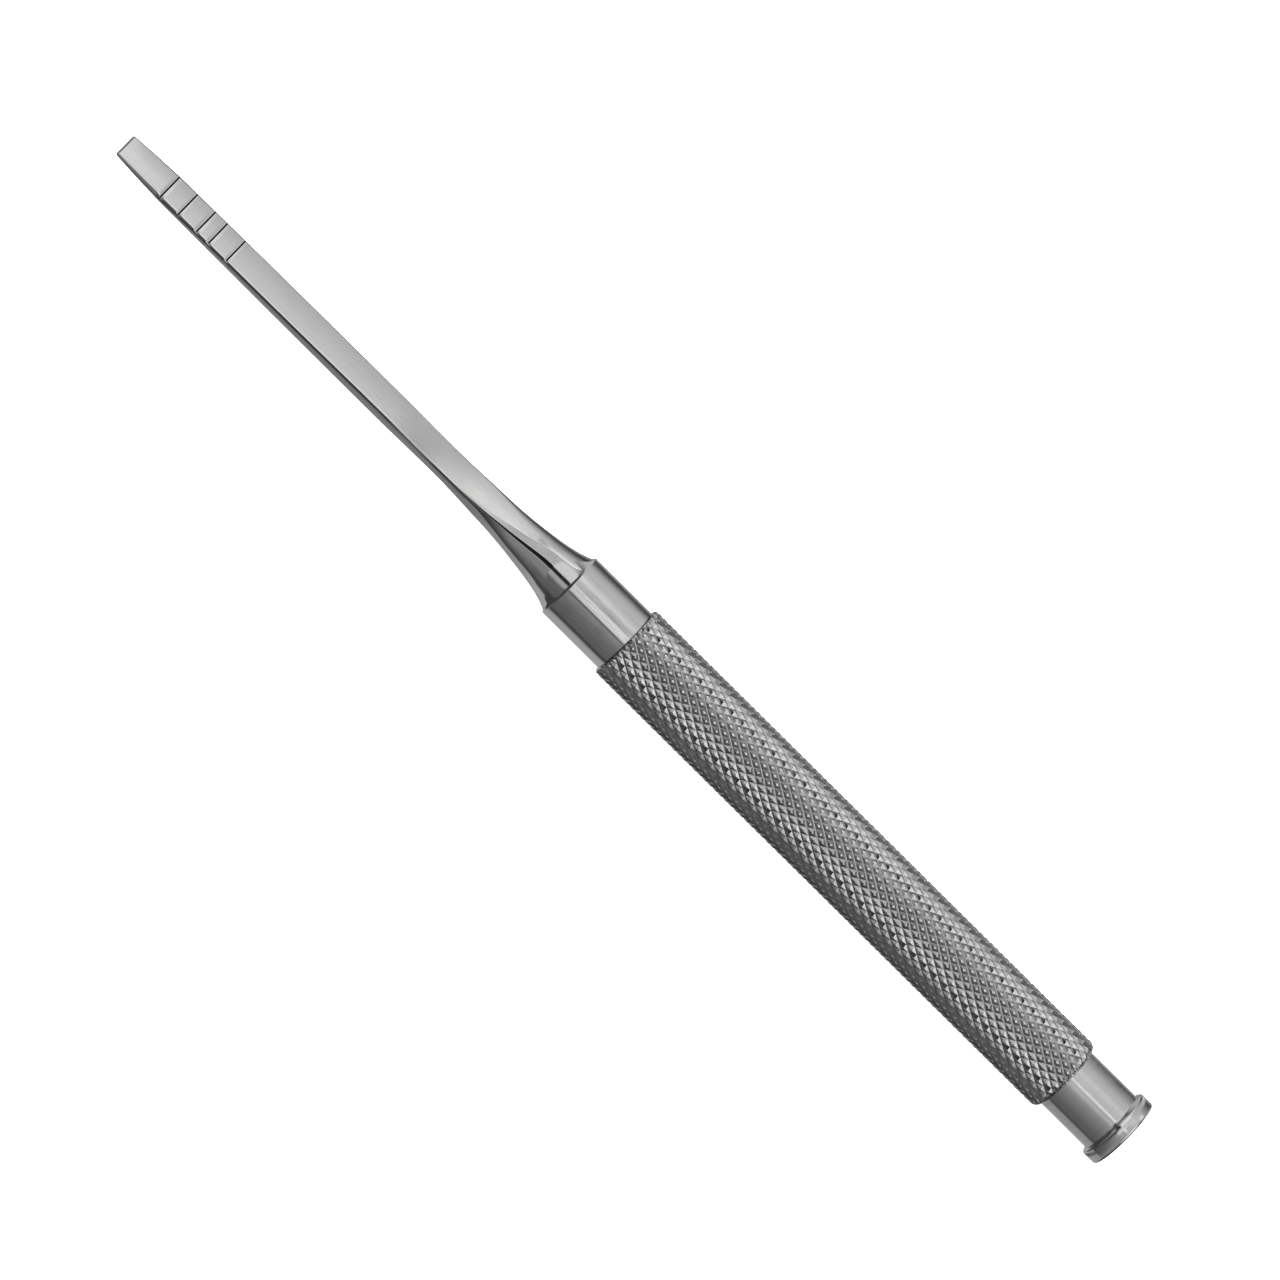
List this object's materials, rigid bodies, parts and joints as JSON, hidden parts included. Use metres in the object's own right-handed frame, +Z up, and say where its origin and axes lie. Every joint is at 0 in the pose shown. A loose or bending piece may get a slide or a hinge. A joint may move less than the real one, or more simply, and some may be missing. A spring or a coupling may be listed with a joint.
{
  "type": "dental osteotome",
  "caption": "Straight dental bone chisel: flat bevelled blade with cut depth lines, flared neck, collar, knurled round handle and flanged mallet end.",
  "frame": {"origin": "centre of the flat strike face, on the tool's axis", "axes": "+X along the tool's axis, from the strike face to the cutting edge; +Z up, out of the broad blade face that carries the depth lines; +Y across the blade"},
  "size_m": [0.1703, 0.0104, 0.0104],
  "materials": {
    "satin_steel": "fine satin ground steel with long fine scratches, sharp polished edges",
    "knurled_steel": "diamond knurl with bright crests and duller grooves",
    "polished_steel": "turned and polished, with faint turning lines",
    "silver_solder": "pale silver solder, satin",
    "black_filling": "matt black filling in the cut lines"
  },
  "bodies": {
    "root": {"blade": "satin_steel", "grip_sleeve": "knurled_steel", "strike_head": "polished_steel", "front_solder_ring": "silver_solder", "rear_solder_ring": "silver_solder", "depth_line_07mm": "black_filling", "depth_line_10mm": "black_filling", "depth_line_13mm": "black_filling", "depth_line_15mm": "black_filling", "depth_line_18mm": "black_filling"}
  },
  "joints": []
}
